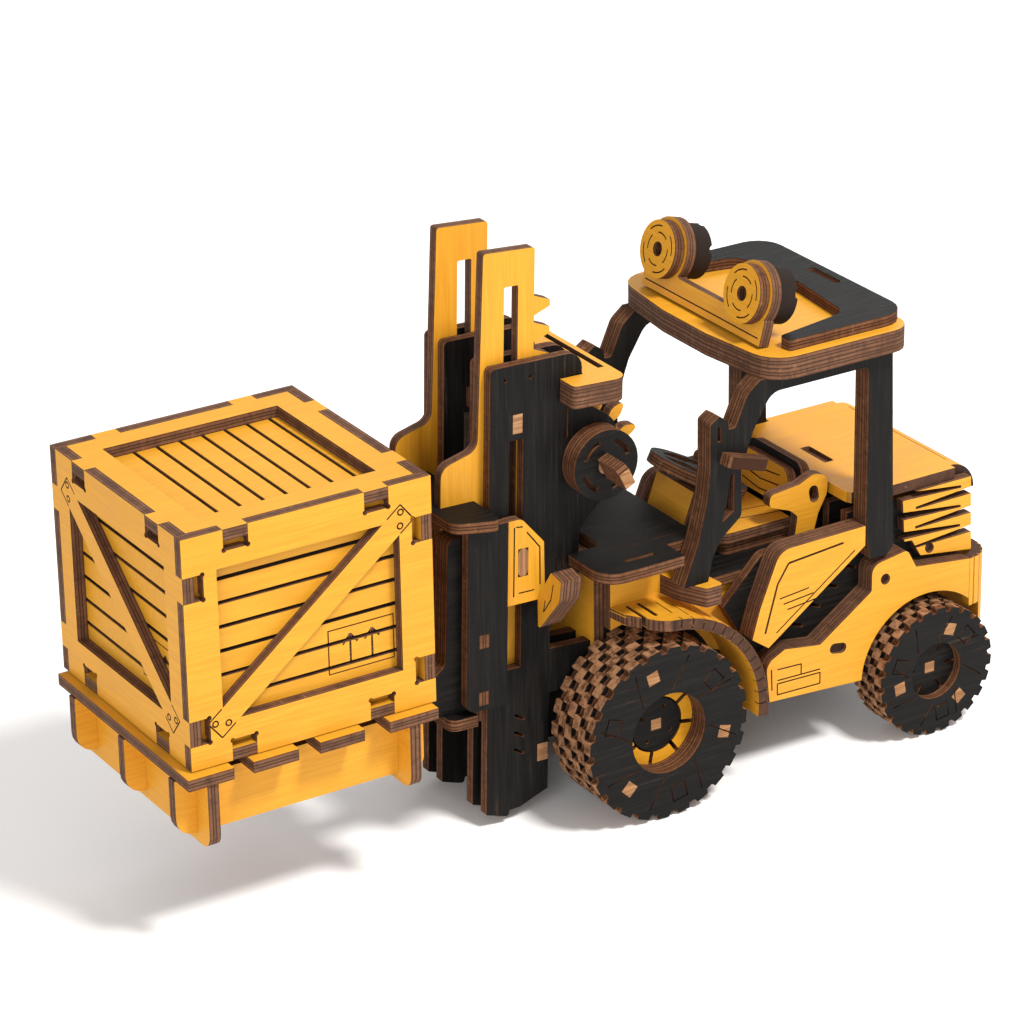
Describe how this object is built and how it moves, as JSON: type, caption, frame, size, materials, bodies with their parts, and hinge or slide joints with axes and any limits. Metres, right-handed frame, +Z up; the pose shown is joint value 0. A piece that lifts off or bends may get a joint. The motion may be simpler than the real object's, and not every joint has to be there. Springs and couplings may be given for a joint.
{
  "type": "toy forklift truck",
  "caption": "Laser-cut plywood kit forklift in black and yellow with a leaning mast, rack and crank lift, forks, wooden pallet and slatted crate.",
  "frame": {"origin": "on the ground plane, under the middle of the whole toy's bounding box", "axes": "+X forward along the forks, +Y to the driver's left (crank knob side), +Z up"},
  "size_m": [0.2008, 0.06, 0.1275],
  "materials": {
    "yellow_face": "satin",
    "black_face": "satin",
    "bare_wood": "matte"
  },
  "bodies": {
    "truck": {"chassis_sides": "black_face", "chassis_cross": "yellow_face", "deck_plate": "black_face", "fender_walls": "yellow_face", "fender_left": "yellow_face", "fender_right": "yellow_face", "steps": "yellow_face", "cab_frame_left": "black_face", "cab_frame_right": "black_face", "door_panels": "yellow_face", "body_side_left": "black_face", "body_side_right": "black_face", "skirt_left": "yellow_face", "skirt_right": "yellow_face", "grilles": "yellow_face", "bonnet": "yellow_face", "rear_panel": "yellow_face", "roof_base": "yellow_face", "roof_top": "black_face", "light_bar": "yellow_face", "lamps": "yellow_face", "console_sides": "black_face", "console_face": "yellow_face", "seat_base": "black_face", "seat_cushion": "yellow_face", "seat_back": "black_face", "armrests": "yellow_face", "cab_floor": "black_face", "mast_outer_left": "black_face", "mast_outer_right": "black_face", "mast_inner": "black_face", "mast_brace": "yellow_face", "mast_spacers": "bare_wood", "mast_cleats": "yellow_face"},
    "front_wheels": {"front_axle": "bare_wood", "front_tyre_left": "black_face", "front_tyre_right": "black_face", "front_hubs": "black_face"},
    "rear_wheels": {"rear_axle": "bare_wood", "rear_tyre_left": "black_face", "rear_tyre_right": "black_face", "rear_hubs": "black_face"},
    "lift": {"rack_left": "yellow_face", "rack_right": "yellow_face", "carriage_top": "black_face", "carriage_sides": "black_face", "carriage_clamps": "yellow_face", "carriage_bars": "black_face", "forks": "black_face"},
    "crank": {"crank_axle": "bare_wood", "crank_pinions": "yellow_face", "crank_knob": "black_face"},
    "steering": {"steering_wheel": "black_face"},
    "pallet": {"pallet_deck": "yellow_face", "pallet_stringers": "yellow_face", "pallet_skirts": "yellow_face"},
    "crate": {"crate_ends": "yellow_face", "crate_sides": "yellow_face", "crate_lids": "yellow_face", "crate_liner": "yellow_face"}
  },
  "joints": [
    {"name": "front_spin", "type": "hinge", "parent": "truck", "child": "front_wheels", "pos_m": [-0.0122, 0, 0.0198], "axis": [0, 1, 0], "continuous": true},
    {"name": "rear_spin", "type": "hinge", "parent": "truck", "child": "rear_wheels", "pos_m": [-0.0823, 0, 0.015], "axis": [0, 1, 0], "continuous": true},
    {"name": "lift_slide", "type": "slide", "parent": "truck", "child": "lift", "axis": [-0.0305, 0, 0.9995], "range_m": [-0.021, 0.022]},
    {"name": "crank_turn", "type": "hinge", "parent": "truck", "child": "crank", "pos_m": [-0.00451, 0, 0.07884], "axis": [0, -1, 0], "range_deg": [-110, 115]},
    {"name": "steer_turn", "type": "hinge", "parent": "truck", "child": "steering", "pos_m": [-0.0401, 0, 0.0628], "axis": [-0.454, 0, 0.891], "range_deg": [-180, 180]},
    {"name": "pallet_slide", "type": "slide", "parent": "lift", "child": "pallet", "axis": [1, 0, 0], "range_m": [0, 0.062]},
    {"name": "crate_lift", "type": "slide", "parent": "pallet", "child": "crate", "axis": [0, 0, 1], "range_m": [0, 0.06]}
  ],
  "couplings": [
    {"joint": "crank_turn", "follows": "lift_slide", "rad_per_m": 90.276}
  ]
}
